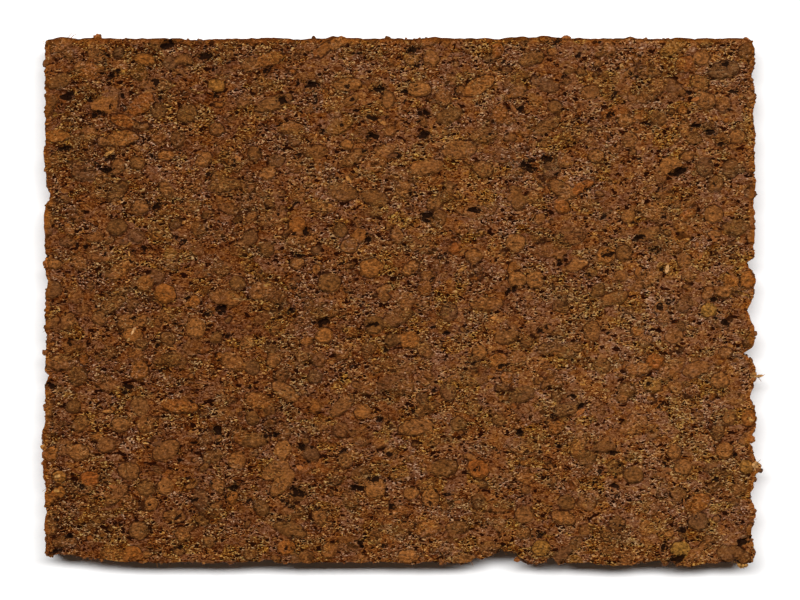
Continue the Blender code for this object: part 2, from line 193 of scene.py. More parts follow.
# Marked kernels of the upper face: x, y, length and width in mm from the plain rectangle's middle,
# turn in degrees, and tone from 0, grey-olive, over tan and orange to 1, yellow
MARKED_KERNELS = (
    (19.4, 3.4, 3.1, 3.0, 0, 0.62),
    (22.3, 3.4, 3.0, 3.1, 0, 0.60),
    (46.4, -41.2, 3.5, 3.1, 0, 1.00),
    (23.2, -40.9, 3.2, 2.8, 0, 0.97),
    (2.6, -20.9, 6.1, 2.7, 8, 0.45),
    (-4.1, -30.9, 3.7, 3.6, 0, 0.58),
    (12.9, -27.8, 3.8, 3.1, -20, 0.85),
    (20.5, -35.4, 3.3, 3.1, 0, 0.35),
    (49.3, -36.5, 3.5, 3.1, 15, 0.05),
    (38.6, -28.8, 3.3, 3.0, 0, 0.20),
    (46.7, -27.6, 3.1, 2.9, 0, 0.42),
    (53.6, -24.8, 3.1, 2.9, 0, 0.66),
    (19.1, 9.5, 3.4, 3.1, 0, 0.50),
    (34.0, 7.5, 3.1, 2.9, 0, 0.70),
    (37.0, 7.8, 2.9, 2.7, 0, 0.25),
    (-4.8, 5.4, 4.1, 3.3, 10, 0.72),
    (-11.7, 2.9, 3.8, 3.4, 0, 0.22),
    (-4.3, -4.0, 3.4, 3.2, 0, 0.18),
    (1.6, -6.5, 3.4, 3.0, 0, 0.74),
    (-1.2, -6.5, 2.7, 2.4, 0, 0.10),
    (-12.5, -5.7, 3.1, 2.7, 15, 0.70),
    (-57.0, 6.0, 2.8, 1.7, 0, 0.55),
    (-46.7, 12.1, 3.4, 2.9, 0, 0.12),
    (-33.7, -4.5, 3.4, 3.3, 0, 0.64),
    (-38.8, 1.1, 3.7, 3.3, -10, 0.78),
    (-44.2, -5.7, 3.5, 2.3, 0, 0.70),
    (-42.9, 15.3, 3.1, 2.6, 10, 0.40),
    (-42.2, 39.8, 3.7, 2.1, -10, 0.92),
    (-35.6, 39.8, 3.1, 1.9, -15, 0.35),
    (-30.2, 35.6, 2.9, 2.4, 0, 0.95),
    (-43.4, 22.7, 2.7, 2.2, 0, 0.30),
    (3.1, 34.9, 4.1, 2.7, 0, 0.62),
    (-2.0, 33.1, 2.4, 3.1, 0, 0.35),
    (-8.1, 33.1, 3.1, 1.5, 30, 0.50),
    (-8.8, 25.7, 2.1, 1.9, 0, 0.66),
    (-20.8, 32.6, 6.6, 2.4, 20, 0.28),
    (44.7, 22.2, 3.8, 3.1, 0, 0.60),
    (55.8, 27.1, 2.7, 2.5, 0, 0.45),
    (50.5, 32.9, 3.1, 3.0, 0, 0.40),
    (49.8, 40.0, 2.9, 2.5, 0, 0.52),
    (51.8, 14.3, 3.2, 3.0, 0, 0.50),
    (53.5, 1.4, 2.8, 2.5, 0, 0.50),
    (51.0, -1.6, 2.9, 2.4, 10, 0.99),
    (42.1, -10.1, 3.2, 2.8, 0, 0.84),
    (52.8, -13.3, 3.1, 2.9, 0, 0.45),
    (57.4, 3.4, 2.6, 3.0, 0, 0.76),
    (57.6, -19.4, 2.6, 3.0, 0, 0.78),
    (57.2, -27.5, 2.4, 2.6, 0, 0.96),
    (-56.3, -29.1, 2.4, 2.0, 0, 0.94),
    (-56.3, -31.6, 2.3, 1.9, 0, 0.92),
    (-51.2, -29.5, 3.2, 2.9, 0, 0.88),
    (-46.2, -20.5, 3.1, 2.6, 0, 0.45),
    (-43.1, -38.0, 3.3, 3.1, 0, 0.30),
    (-44.2, -41.5, 2.8, 2.0, 0, 0.80),
    (-41.9, -31.1, 3.0, 2.7, 0, 0.22),
    (-57.6, -25.3, 2.2, 2.6, 0, 0.76),
    (-18.8, -40.8, 3.1, 2.6, 0, 0.80),
    (1.3, -42.3, 3.4, 2.4, 0, 0.62),
)

# Marked pores of the upper face: x, y, length and width in mm, turn in degrees
MARKED_PORES = (
    (-30.2, -21.5, 1.7, 2.1, 0),
    (-12.7, -3.7, 2.3, 1.5, 25),
    (-15.5, 11.3, 1.5, 1.6, 0),
    (-5.3, 10.3, 1.2, 1.5, 0),
    (26.2, 6.0, 0.8, 2.4, -15),
    (30.9, 4.2, 1.0, 1.1, 0),
    (9.2, 10.1, 1.0, 0.9, 0),
    (5.4, 0.2, 1.0, 1.0, 0),
    (-17.8, -1.7, 1.1, 0.9, 0),
    (-9.7, 6.2, 0.9, 1.2, 0),
    (-20.1, 14.4, 0.9, 1.1, 0),
    (-44.1, 8.2, 1.2, 1.0, 0),
    (-39.9, 15.8, 2.1, 0.9, 15),
    (-35.8, 9.8, 1.2, 1.1, 0),
    (-35.1, 0.4, 1.0, 1.0, 0),
    (-29.4, -1.2, 2.0, 1.2, 10),
    (-54.6, -7.2, 1.0, 1.3, 0),
    (-40.1, -7.5, 1.2, 1.0, 0),
    (-52.0, 8.7, 1.3, 1.1, 0),
    (-28.5, -6.0, 1.4, 1.2, 0),
    (-54.6, 34.1, 1.2, 1.1, 0),
    (-51.0, 33.4, 1.4, 1.2, 0),
    (-45.9, 33.9, 1.2, 1.1, 0),
    (-39.6, 33.2, 1.3, 1.0, 0),
    (-47.7, 32.1, 1.1, 0.9, 0),
    (-40.6, 35.2, 1.2, 0.9, 0),
    (-40.9, 23.8, 1.0, 1.1, 0),
    (-48.3, 21.5, 2.3, 1.1, 15),
    (-50.0, 40.7, 1.6, 0.8, 0),
    (-49.5, 37.5, 1.4, 0.8, 0),
    (-36.5, 24.8, 1.0, 1.0, 0),
    (-16.7, 24.0, 1.0, 0.9, 0),
    (-21.1, 38.5, 1.1, 0.8, 0),
    (-1.8, 30.3, 1.0, 0.9, 0),
    (-14.0, 33.2, 0.7, 2.0, 0),
    (3.0, 38.9, 1.2, 0.8, 0),
    (-12.9, 27.8, 1.1, 0.9, 0),
    (-20.3, 29.1, 1.2, 0.8, 0),
    (-9.9, 29.0, 1.1, 0.8, 0),
    (38.0, 37.7, 1.2, 0.8, 0),
    (34.8, 30.6, 1.3, 1.0, 0),
    (34.3, 27.0, 1.1, 0.8, 0),
    (39.6, 40.2, 1.3, 0.7, 0),
    (51.8, 0.1, 1.2, 1.1, 0),
    (43.6, 13.9, 1.1, 1.2, 0),
    (41.1, -13.8, 1.0, 1.0, 0),
    (-52.6, -30.9, 1.2, 1.0, 0),
    (-54.5, -39.0, 1.4, 1.0, 0),
    (-36.3, -26.5, 1.1, 1.0, 0),
    (-25.1, -33.1, 1.5, 1.0, 20),
    (-22.3, -22.4, 1.1, 0.9, 0),
    (-6.3, -40.8, 1.3, 0.9, 0),
    (0.7, -36.4, 1.2, 1.0, 0),
    (2.0, -18.2, 1.2, 0.8, 0),
    (-3.3, -19.6, 1.3, 1.0, 0),
    (36.3, -27.3, 1.0, 1.0, 0),
    (23.4, -38.7, 1.3, 0.8, 0),
    (43.7, -26.6, 1.0, 0.9, 0),
    (48.0, -29.9, 1.0, 0.9, 0),
    (43.7, -40.7, 1.5, 1.4, 0),
    (55.4, -25.5, 1.0, 1.2, 0),
)


def shown(red, green, blue):
    """The linear surface colour that shows as these display values, 0 to 255, in the studio."""
    linear = []
    for value in (red, green, blue):
        share = value / 255
        light = share / 12.92 if share <= 0.04045 else ((share + 0.055) / 1.055) ** 2.4
        linear.append(light / STUDIO_LIGHT)
    return tuple(linear)


def count_property(name, description, count):
    return IntProperty(name=name, description=description, default=count, min=0)


def colour_property(name, description, colour):
    return FloatVectorProperty(
        name=name, description=description, default=colour, size=3, min=0.0, max=1.0, subtype="COLOR"
    )


def length_property(name, description, value):
    return FloatProperty(
        name=name, description=description, default=value, min=0.0, unit="LENGTH", precision=5
    )


class SliceSettings(bpy.types.PropertyGroup):
    """Sizes of the slice's surface and of what is baked into it."""

    cell: length_property("Cell", "Cell width of the lower face; the upper one has half of it", 0.82 * MM)
    side_rows: count_property("Side rows", "Rows of cells down the sides before halving", 7)
    kernel_length: length_property("Kernel length", "Mean length of a whole rye kernel", 6.0 * MM)
    kernel_width: length_property("Kernel width", "Mean width of a whole rye kernel", 3.1 * MM)
    kernel_count: count_property("Kernels", "Whole kernels that are tried for", 1500)
    bit_count: count_property("Broken kernels", "Chopped kernels between them", 2600)
    pore_count: count_property("Pores", "Pores in each cut face besides the marked ones", 290)
    seed: count_property("Seed", "Start of the random draws", 27)


class LooseSettings(bpy.types.PropertyGroup):
    """Numbers of crumbs, bran flakes and fibres besides those that the picture shows."""

    crumb_count: count_property("Edge crumbs", "Crumbs that cling to the sides", 420)
    flake_count: count_property("Bran flakes", "Flakes of bran in the upper face", 56)
    hair_count: count_property("Fibres", "Bran fibres at the sides", 16)
    hair_width: length_property("Fibre width", "Thickness of a bran fibre", 0.16 * MM)
    seed: count_property("Seed", "Start of the random draws", 5)


class CrumbColours(bpy.types.PropertyGroup):
    """Colours of the crumb, as they show under the studio light; the darkest serve as painted shade in
    pits, crevices and pores, the lightest as painted highlights on ridges and glints.
    """

    pit: colour_property("Pit", "Bottoms of pits", shown(31, 8, 1))
    deep: colour_property("Deep", "Deep crumb", shown(54, 17, 2))
    dark: colour_property("Dark", "Shaded crumb", shown(83, 40, 10))
    middle: colour_property("Middle", "Most of the crumb", shown(106, 60, 30))
    light: colour_property("Light", "Raised crumb", shown(126, 80, 49))
    bright: colour_property("Bright", "Ridges of the crumb", shown(146, 99, 64))
    glint: colour_property("Glint", "Moist ridges that catch the light", shown(188, 146, 108))
    rim: colour_property("Rim", "Pressed edge of the slice", shown(124, 70, 26))
    bran: colour_property("Bran", "Skin round a cut kernel", shown(50, 23, 7))
    # Painted shade on the floors of pores
    pore_shade: colour_property("Pore", "Floors of pores", shown(26, 11, 5))


class StudioSettings(bpy.types.PropertyGroup):
    """Camera distance, light and floor."""

    camera_height: length_property("Camera height", "Height of the camera over the slice", 0.55)
    key_distance: length_property("Key distance", "Distance of the key light", 3.0)
    key_tilt: FloatProperty(
        name="Key tilt", description="Lean of the key light to the back", default=math.radians(16.5),
        subtype="ANGLE",
    )
    key_power: FloatProperty(
        name="Key power", description="Power of the key light", default=137.0, unit="POWER"
    )
    fill: FloatProperty(name="Fill", description="Strength of the even light", default=0.03)
    floor_colour: colour_property("Floor", "Colour of the floor", (0.98, 0.98, 0.98))


def activate(item):
    """Leaves an object as the only one selected, and active."""
    bpy.ops.object.select_all(action="DESELECT")
    item.select_set(True)
    bpy.context.view_layer.objects.active = item


def read_points(mesh):
    """A mesh's vertices as an array, in metres."""
    points = np.empty(len(mesh.vertices) * 3, np.float32)
    mesh.vertices.foreach_get("co", points)
    return points.reshape(-1, 3).astype(np.float64)


def write_points(mesh, points):
    mesh.vertices.foreach_set("co", points.astype(np.float32).ravel())
    mesh.update()


def write_attribute(mesh, name, values):
    """Keeps one number or one vector for each vertex."""
    if values.ndim == 1:
        attribute = mesh.attributes.new(name, "FLOAT", "POINT")
        attribute.data.foreach_set("value", values.astype(np.float32))
    else:
        attribute = mesh.attributes.new(name, "FLOAT_VECTOR", "POINT")
        attribute.data.foreach_set("vector", values.astype(np.float32).ravel())


def smooth_step(low, high, values):
    share = np.clip((values - low) / (high - low), 0.0, 1.0)
    return share * share * (3 - 2 * share)


def noise_at(points, wave):
    """Noise from -1 to 1 at points in millimetres, with a wave length in millimetres."""
    scaled = points / wave
    return np.array([noise.noise(point) for point in scaled.tolist()])


def waves_at(points, waves):
    return sum(height * noise_at(points, wave) for wave, height in waves)


class Lump(NamedTuple):
    """A kernel or a pore as an ellipsoid in mm: centre, half axes, rotation, look, and lift or depth."""

    centre: np.ndarray
    axes: np.ndarray
    turn: np.ndarray
    look: tuple
    lift: float


def new_lump(centre, axes, turn, look, lift):
    """The look is a tone, how clearly it stands out, and a chance from 0 to 1 for its markings."""
    return Lump(np.array(centre), np.array(axes), np.array(turn), look, lift)


class Packing:
    """Lumps packed through the slice with little overlap."""

    def __init__(self, most):
        self.lumps = []
        self.centres = np.zeros((most, 3))
        self.longest = np.zeros(most)
        self.frames = np.zeros((most, 3, 3))

    def add(self, lump):
        count = len(self.lumps)
        self.lumps.append(lump)
        self.centres[count] = lump.centre
        self.longest[count] = lump.axes.max()
        self.frames[count] = lump.turn / lump.axes

    def has_room(self, lump, overlap):
        count = len(self.lumps)
        away = self.centres[:count] - lump.centre
        distance = np.sqrt((away * away).sum(axis=1))
        near = np.nonzero(distance < self.longest[:count] + lump.axes.max())[0]
        if len(near) == 0:
            return True
        distance = np.maximum(distance[near], 1e-6)
        direction = away[near] / distance[:, None]
        own_reach = 1 / np.linalg.norm(direction @ (lump.turn / lump.axes), axis=1)
        other_reach = 1 / np.linalg.norm(np.einsum("ni,nij->nj", direction, self.frames[near]), axis=1)
        return bool((distance > overlap * (own_reach + other_reach)).all())

    def fill(self, count, tries, overlap, draw):
        """Draws lumps until a number of them found room."""
        made = 0
        for _ in range(tries):
            lump = draw()
            if self.has_room(lump, overlap):
                self.add(lump)
                made += 1
            if made == count:
                return


def marked_kernels():
    """The kernels that show in the picture, cut near their middles by the upper face."""
    top = SLICE_TOP / MM
    for x, y, length, width, turn, tone in MARKED_KERNELS:
        axes = (length / 2 * MARKED_FULLNESS, width / 2 * MARKED_FULLNESS, MARKED_HALF_HEIGHT)
        look = (tone, MARKED_CLEARNESS, (x * 0.37 + y * 0.19) % 1)
        spin = Matrix.Rotation(math.radians(turn), 3, "Z")
        yield new_lump((x, y, top - MARKED_SINK), axes, spin, look, MARKED_LIFT)


def draw_place(draws):
    return (
        draws.uniform(-0.5, 0.5) * (PLAIN_LENGTH / MM + 2),
        draws.uniform(-0.5, 0.5) * (PLAIN_WIDTH / MM + 2),
        draws.uniform(-1.5, SLICE_TOP / MM + 1.5),
    )


def draw_look(draws):
    """Mostly olive and tan kernels, some orange, few red or yellow; many hardly stand out."""
    low, high = draws.choices(((0.0, 0.35), (0.35, 0.62), (0.62, 0.82), (0.82, 1.0)), (46, 34, 15, 5))[0]
    return draws.uniform(low, high), draws.uniform(0.22, 0.80), draws.random()


def draw_kernel(draws, settings):
    """A whole kernel: most stand on end to the cut, as the dough was pressed along the tin."""
    half_length = draws.uniform(0.85, 1.12) * settings.kernel_length / MM / 2
    half_width = draws.uniform(0.82, 1.1) * settings.kernel_width / MM / 2
    axes = (half_length, half_width, half_width * draws.uniform(0.8, 0.95))
    if draws.random() < 0.6:
        lean = math.radians(90 + draws.uniform(-38, 38))
        heading = math.radians(draws.uniform(0, 360))
    else:
        lean = math.radians(draws.uniform(-22, 22))
        heading = math.radians(draws.gauss(8, 24))
    turn = Euler((draws.uniform(0, 3), lean, heading), "XYZ").to_matrix()
    return new_lump(draw_place(draws), axes, turn, draw_look(draws), draws.uniform(-0.06, 0.24))


def draw_bit(draws):
    """A chopped piece of a kernel."""
    size = draws.uniform(0.5, 1.05)
    axes = (size * draws.uniform(1.1, 1.9), size, size * draws.uniform(0.7, 1.0))
    angles = (draws.uniform(0, 3), draws.uniform(-0.7, 0.7), draws.gauss(0.1, 0.6))
    turn = Euler(angles, "XYZ").to_matrix()
    return new_lump(draw_place(draws), axes, turn, draw_look(draws), draws.uniform(-0.10, 0.20))


def all_kernels(settings):
    """All kernels of the slice: marked ones first, then whole ones, then broken ones."""
    draws = random.Random(settings.seed)
    packing = Packing(settings.kernel_count + settings.bit_count + len(MARKED_KERNELS))
    for kernel in marked_kernels():
        packing.add(kernel)
    packing.fill(settings.kernel_count, KERNEL_DRAWS, CLOSENESS, lambda: draw_kernel(draws, settings))
    packing.fill(settings.bit_count, BIT_DRAWS, CLOSENESS, lambda: draw_bit(draws))
    return packing.lumps


def all_pores(settings):
    """Gas holes of both cut faces and of the sides, as flattened ellipsoids; lift is their depth."""
    draws = random.Random(settings.seed + 1)
    top = SLICE_TOP / MM
    half = (PLAIN_LENGTH / 2 / MM, PLAIN_WIDTH / 2 / MM)
    pores = []
    for x, y, length, width, turn in MARKED_PORES:
        axes = (length / 2, width / 2, 1.2)
        spin = Matrix.Rotation(math.radians(turn), 3, "Z")
        pores.append(new_lump((x, y, top), axes, spin, PORE_LOOK, 0.45 + 0.45 * min(length, width)))
    for level in (top, 0.0):
        for _ in range(settings.pore_count):
            size = min(draws.lognormvariate(-1.12, 0.35), 0.75)
            spin = Matrix.Rotation(draws.gauss(0.1, 0.4), 3, "Z")
            place = (draws.uniform(-half[0], half[0]), draws.uniform(-half[1], half[1]), level)
            axes = (size * draws.uniform(1.2, 2.6), size, 1.0)
            pores.append(new_lump(place, axes, spin, PORE_LOOK, 0.3 + size))
    for _ in range(settings.pore_count // 2):
        along = draws.uniform(-1, 1)
        end = draws.choice((-1, 1))
        on_long_side = draws.random() < 0.6
        place = (along * half[0], end * half[1]) if on_long_side else (end * half[0], along * half[1])
        size = draws.uniform(0.3, 0.7)
        level = draws.uniform(0.8, top - 1.0)
        axes = (1.3 * size, 1.3 * size, size)
        pores.append(new_lump((*place, level), axes, np.eye(3), PORE_LOOK, 0.5 * size))
    return pores


class LumpMap(NamedTuple):
    """What each vertex knows of its nearest lump: depth inside it, its look, lift and local place."""

    edge: np.ndarray
    look: np.ndarray
    lift: np.ndarray
    place: np.ndarray


def map_lumps(points, lumps):
    """Reads lumps at points in millimetres."""
    bin_size = 3.0
    low = points[:, :2].min(axis=0)
    cells = np.floor((points[:, :2] - low) / bin_size).astype(int)
    columns = cells[:, 0].max() + 1
    rows = cells[:, 1].max() + 1
    keys = cells[:, 1] * columns + cells[:, 0]
    order = np.argsort(keys, kind="stable")
    starts = np.searchsorted(keys[order], np.arange(columns * rows + 1))
    edge = np.full(len(points), -3.0)
    look = np.zeros((len(points), 3))
    lift = np.zeros(len(points))
    place = np.zeros((len(points), 3))
    for lump in lumps:
        reach = lump.axes.max() + 0.9
        first = np.floor((lump.centre[:2] - reach - low) / bin_size).astype(int)
        last = np.floor((lump.centre[:2] + reach - low) / bin_size).astype(int)
        first = np.maximum(first, 0)
        last = np.minimum(last, (columns - 1, rows - 1))
        if (first > last).any():
            continue
        near = np.concatenate([
            order[starts[row * columns + first[0]]: starts[row * columns + last[0] + 1]]
            for row in range(first[1], last[1] + 1)
        ])
        local = (points[near] - lump.centre) @ lump.turn / lump.axes
        radius = np.maximum(np.linalg.norm(local, axis=1), 1e-6)
        depth = (1 - radius) * radius / np.maximum(np.linalg.norm(local / lump.axes, axis=1), 1e-6)
        better = depth > edge[near]
        chosen = near[better]
        edge[chosen] = depth[better]
        look[chosen] = lump.look
        lift[chosen] = lump.lift
        place[chosen] = local[better]
    return LumpMap(np.maximum(edge, -1.5), look, lift, place)


class Side:
    """Finds a body's side surface from outside, level by level."""

    def __init__(self, body):
        mesh = body.data
        corners = [vertex.co.copy() for vertex in mesh.vertices]
        self.tree = BVHTree.FromPolygons(corners, [tuple(face.vertices) for face in mesh.polygons])

    def rounded(self, x, y):
        """A point of the plain rectangle's edge, moved onto its rounded corner, and the way out of it."""
        half = Vector((PLAIN_LENGTH / 2, PLAIN_WIDTH / 2))
        past = Vector((abs(x) - half.x + CORNER_RADIUS, abs(y) - half.y + CORNER_RADIUS))
        inset = Vector((max(0.0, past.x), max(0.0, past.y)))
        sign = Vector((math.copysign(1, x), math.copysign(1, y)))
        if inset.x > 0 and inset.y > 0:
            share = inset.y / (inset.x + inset.y)
            direction = Vector((math.cos(share * math.pi / 2), math.sin(share * math.pi / 2)))
            centre = half - Vector((CORNER_RADIUS, CORNER_RADIUS))
            point = centre + CORNER_RADIUS * direction
            return point * sign, direction * sign
        if inset.x > 0:
            return Vector((x, y)), Vector((sign.x, 0.0))
        return Vector((x, y)), Vector((0.0, sign.y))

    def find(self, x, y, z):
        """The surface beside a point of the plain edge at a height, and the way out there."""
        point, outward = self.rounded(x, y)
        level = min(max(z, RAY_LOW), RAY_HIGH)
        start = (point + PLAIN_CENTRE + outward * RAY_START).to_3d()
        start.z = level
        hit = self.tree.ray_cast(start, -outward.to_3d(), 3 * RAY_START)[0]
        if hit is None:
            raise RuntimeError(f"no side found at {x:.4f}, {y:.4f}")
        return hit.to_2d(), outward


def add_slab(settings):
    """A box of square cells, half as wide on the top and sides as underneath."""
    columns = round(PLAIN_LENGTH / settings.cell)
    rows = round(PLAIN_WIDTH / settings.cell)
    bpy.ops.object.select_all(action="DESELECT")
    bpy.ops.mesh.primitive_grid_add(
        x_subdivisions=columns, y_subdivisions=rows, size=1.0, location=(0, 0, SLICE_TOP)
    )
    slab = bpy.context.object
    slab.name = SLAB
    slab.scale = (PLAIN_LENGTH, PLAIN_WIDTH, 1.0)
    bpy.ops.object.transform_apply(location=True, rotation=True, scale=True)
    bpy.ops.object.mode_set(mode="EDIT")
    bpy.ops.mesh.select_all(action="SELECT")
    drop = -SLICE_TOP / settings.side_rows
    for _ in range(settings.side_rows):
        bpy.ops.mesh.extrude_region_move(TRANSFORM_OT_translate={"value": (0, 0, drop)})
    bpy.ops.mesh.select_all(action="SELECT")
    bpy.ops.mesh.normals_make_consistent(inside=False)
    bpy.ops.mesh.select_all(action="DESELECT")
    bpy.ops.object.mode_set(mode="OBJECT")
    for face in slab.data.polygons:
        face.select = face.center.z > 0.1 * MM
    bpy.ops.object.mode_set(mode="EDIT")
    bpy.ops.mesh.select_mode(type="FACE")
    bpy.ops.mesh.subdivide(number_cuts=1)
    bpy.ops.object.mode_set(mode="OBJECT")
    return slab, 2 * columns, 2 * rows


def bend_weights(distance):
    """Full at an edge and nothing past the blend, with a level start."""
    share = np.clip(distance / EDGE_BLEND, 0.0, 1.0)
    return (1 - share) ** 2 * (1 + 2 * share)


class Slab(NamedTuple):
    """The slab's vertices in metres, the way out of its walls, and which of them lie where."""

    points: np.ndarray
    outward: np.ndarray
    is_top: np.ndarray
    is_low: np.ndarray
    on_edge: np.ndarray
    side_distance: np.ndarray
    back_distance: np.ndarray


def bend_to_outline(points, side, columns, rows):
    """Moves the box's vertices sideways onto the solid's outline, the faces' rows with them."""
    half = np.array((PLAIN_LENGTH / 2, PLAIN_WIDTH / 2))
    steps = np.array((PLAIN_LENGTH / columns, PLAIN_WIDTH / rows))
    index = np.rint((points[:, :2] + half) / steps).astype(int)
    is_top = points[:, 2] > SLICE_TOP - 0.01 * MM
    is_low = points[:, 2] < 0.01 * MM
    inset = np.minimum(index, (columns, rows) - index) * steps
    on_edge = inset.min(axis=1) < 0.1 * MM
    moved = points.copy()
    outward = np.zeros((len(points), 2))
    for k in np.nonzero(on_edge)[0]:
        place, direction = side.find(*points[k])
        moved[k, :2] = place
        outward[k] = direction
    shift = moved[:, :2] - points[:, :2]
    for layer in (is_top, is_low):
        inner = np.nonzero(layer & ~on_edge)[0]
        total = np.zeros((len(inner), 2))
        weights = np.zeros(len(inner))
        for axis, at in ((0, 0), (0, columns), (1, 0), (1, rows)):
            border = np.nonzero(layer & (index[:, axis] == at))[0]
            along = 1 - axis
            table = np.zeros((max(columns, rows) + 1, 2))
            table[index[border, along]] = shift[border]
            weight = bend_weights(np.abs(index[inner, axis] - at) * steps[axis])
            total += (weight**2)[:, None] * table[index[inner, along]]
            weights += weight
        rest = np.clip(1 - weights, 0.0, 1.0)[:, None]
        moved[inner, :2] += total / np.maximum(weights, 1e-6)[:, None] + rest * np.array(PLAIN_CENTRE)
    back = (rows - index[:, 1]) * steps[1]
    return Slab(moved, outward, is_top, is_low, on_edge, inset.min(axis=1) / MM, back / MM)


def make_slice(settings):
    """The slab of crumb with its relief, and what its material reads of kernels, pores and rim."""
    item, columns, rows = add_slab(settings)
    slab = bend_to_outline(read_points(item.data), Side(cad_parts[NODE]), columns, rows)
    middle = np.array((*PLAIN_CENTRE, 0.0))
    local = (slab.points - middle) / MM
    kernels = map_lumps(local, all_kernels(settings))
    pores = map_lumps(local, all_pores(settings))
    inside = smooth_step(0.0, KERNEL_SHOULDER, kernels.edge)
    hollow = smooth_step(-0.12, 0.45, pores.edge) * pores.lift
    worn = 1 - smooth_step(0.0, RIM_WEAR_REACH, slab.side_distance)

    top = np.nonzero(slab.is_top)[0]
    crumb = waves_at(local[top], CRUMB_WAVES)
    level = crumb + (kernels.lift[top] - crumb) * inside[top] - CRUMB_DROP
    level -= hollow[top] + worn[top] * (RIM_WEAR + np.abs(noise_at(local[top], 0.9)) * RIM_WEAR)
    local[top, 2] = np.minimum(local[top, 2] + level, SLICE_TOP / MM)

    low = np.nonzero(slab.is_low)[0]
    level = (LOWER_DROP + np.abs(waves_at(local[low], CRUMB_WAVES))) * (1 - inside[low])
    local[low, 2] = level + 0.8 * hollow[low] + worn[low] * RIM_WEAR

    walls = np.nonzero(slab.on_edge)[0]
    rough = np.where(slab.outward[walls, 1] > 0.7, BACK_ROUGHNESS, 1.0)
    rough[(slab.outward[walls, 1] < -0.7) & (local[walls, 0] < SMOOTH_FRONT_END)] = FRONT_ROUGHNESS
    push = rough * waves_at(local[walls], SIDE_WAVES) * (1 - 0.7 * inside[walls]) + 0.10 * inside[walls]
    face = np.where(slab.is_top[walls] | slab.is_low[walls], 0.4, 1.0)
    local[walls, :2] += slab.outward[walls] * (push - face * hollow[walls])[:, None]

    write_points(item.data, local * MM + middle)
    write_attribute(item.data, "kernel_edge", kernels.edge)
    write_attribute(item.data, "kernel_look", kernels.look)
    write_attribute(item.data, "kernel_place", kernels.place)
    write_attribute(item.data, "pore_edge", pores.edge)
    is_wall = slab.on_edge & ~slab.is_top & ~slab.is_low
    rim_place = np.stack((slab.side_distance, slab.back_distance, is_wall), axis=1)
    write_attribute(item.data, "rim_place", rim_place)
    return item


class Graph:
    """Short ways to add shader nodes to one tree and to link them."""

    def __init__(self, tree):
        self.tree = tree
        tree.nodes.clear()

    def feed(self, socket, value):
        if isinstance(value, bpy.types.NodeSocket):
            self.tree.links.new(value, socket)
        else:
            socket.default_value = value

    def add(self, kind, inputs=None, **settings):
        node = self.tree.nodes.new(kind)
        for name, value in settings.items():
            setattr(node, name, value)
        for key, value in (inputs or {}).items():
            self.feed(node.inputs[key], value)
        return node

    def math(self, operation, *values):
        node = self.add("ShaderNodeMath", operation=operation)
        for socket, value in zip(node.inputs, values):
            self.feed(socket, value)
        return node.outputs[0]

    def product(self, *factors):
        result = factors[0]
        for factor in factors[1:]:
            result = self.math("MULTIPLY", result, factor)
        return result

    def total(self, *terms):
        """Sum of pairs of a value and its weight."""
        result = 0.0
        for value, weight in terms:
            result = self.math("MULTIPLY_ADD", value, weight, result)
        return result

    def vector(self, operation, *values):
        node = self.add("ShaderNodeVectorMath", operation=operation)
        for socket, value in zip(node.inputs, values):
            self.feed(socket, value)
        return node.outputs[0]

    def scaled(self, vector, factor):
        node = self.add("ShaderNodeVectorMath", {"Scale": factor}, operation="SCALE")
        self.feed(node.inputs[0], vector)
        return node.outputs[0]

    def step(self, value, low, high, first=0.0, last=1.0):
        """Goes smoothly from the first value to the last between two limits."""
        inputs = {"Value": value, "From Min": low, "From Max": high, "To Min": first, "To Max": last}
        return self.add("ShaderNodeMapRange", inputs, interpolation_type="SMOOTHSTEP").outputs[0]

    def band(self, value, middle, reach):
        """Full where a value is at the middle, and nothing past the reach on either side of it."""
        away = self.math("ABSOLUTE", self.math("SUBTRACT", value, middle))
        return self.step(away, 0.0, reach, 1.0, 0.0)

    def mix(self, share, first, second, blend="MIX"):
        node = self.add("ShaderNodeMix", data_type="RGBA", blend_type=blend)
        self.feed(node.inputs[0], share)
        self.feed(node.inputs[6], first)
        self.feed(node.inputs[7], second)
        return node.outputs[2]

    def noise(self, place, scale, detail=0.0, output="Fac"):
        inputs = {"Vector": place, "Scale": scale, "Detail": detail}
        return self.add("ShaderNodeTexNoise", inputs, noise_dimensions="3D").outputs[output]

    def warped(self, place, scale, reach):
        """A place moved about by noise."""
        shift = self.vector("SUBTRACT", self.noise(place, scale, 1.0, "Color"), (0.5, 0.5, 0.5))
        return self.vector("ADD", place, self.scaled(shift, 2 * reach))

    def cells(self, place, scale):
        """Distance to the nearest of scattered points, and that point's own random colour."""
        node = self.add("ShaderNodeTexVoronoi", {"Vector": place, "Scale": scale}, feature="F1")
        return node.outputs["Distance"], node.outputs["Color"]

    def parts(self, colour):
        """The three numbers of a colour."""
        return self.add("ShaderNodeSeparateColor", {"Color": colour}).outputs

    def dots(self, place, scale, smallest, largest, softness):
        """Round spots of uneven size, one for each scattered point."""
        distance, own = self.cells(place, scale)
        reach = self.math("MULTIPLY_ADD", self.parts(own)[0], largest - smallest, smallest)
        inside = self.math("DIVIDE", self.math("SUBTRACT", reach, distance), softness)
        return self.math("MINIMUM", self.math("MAXIMUM", inside, 0.0), 1.0)

    def ramp(self, value, stops):
        node = self.add("ShaderNodeValToRGB", {"Fac": value})
        points = node.color_ramp.elements
        points.remove(points[1])
        points[0].position = stops[0][0]
        points[0].color = (*stops[0][1], 1.0)
        for position, colour in stops[1:]:
            points.new(position).color = (*colour, 1.0)
        return node.outputs["Color"]


def new_group(name, inputs, outputs):
    """An empty node group with its sockets: pairs of a name and a type."""
    tree = bpy.data.node_groups.new(name, "ShaderNodeTree")
    for way, sockets in (("INPUT", inputs), ("OUTPUT", outputs)):
        for label, kind in sockets:
            tree.interface.new_socket(label, in_out=way, socket_type=f"NodeSocket{kind}")
    graph = Graph(tree)
    return graph, graph.add("NodeGroupInput").outputs, graph.add("NodeGroupOutput").inputs


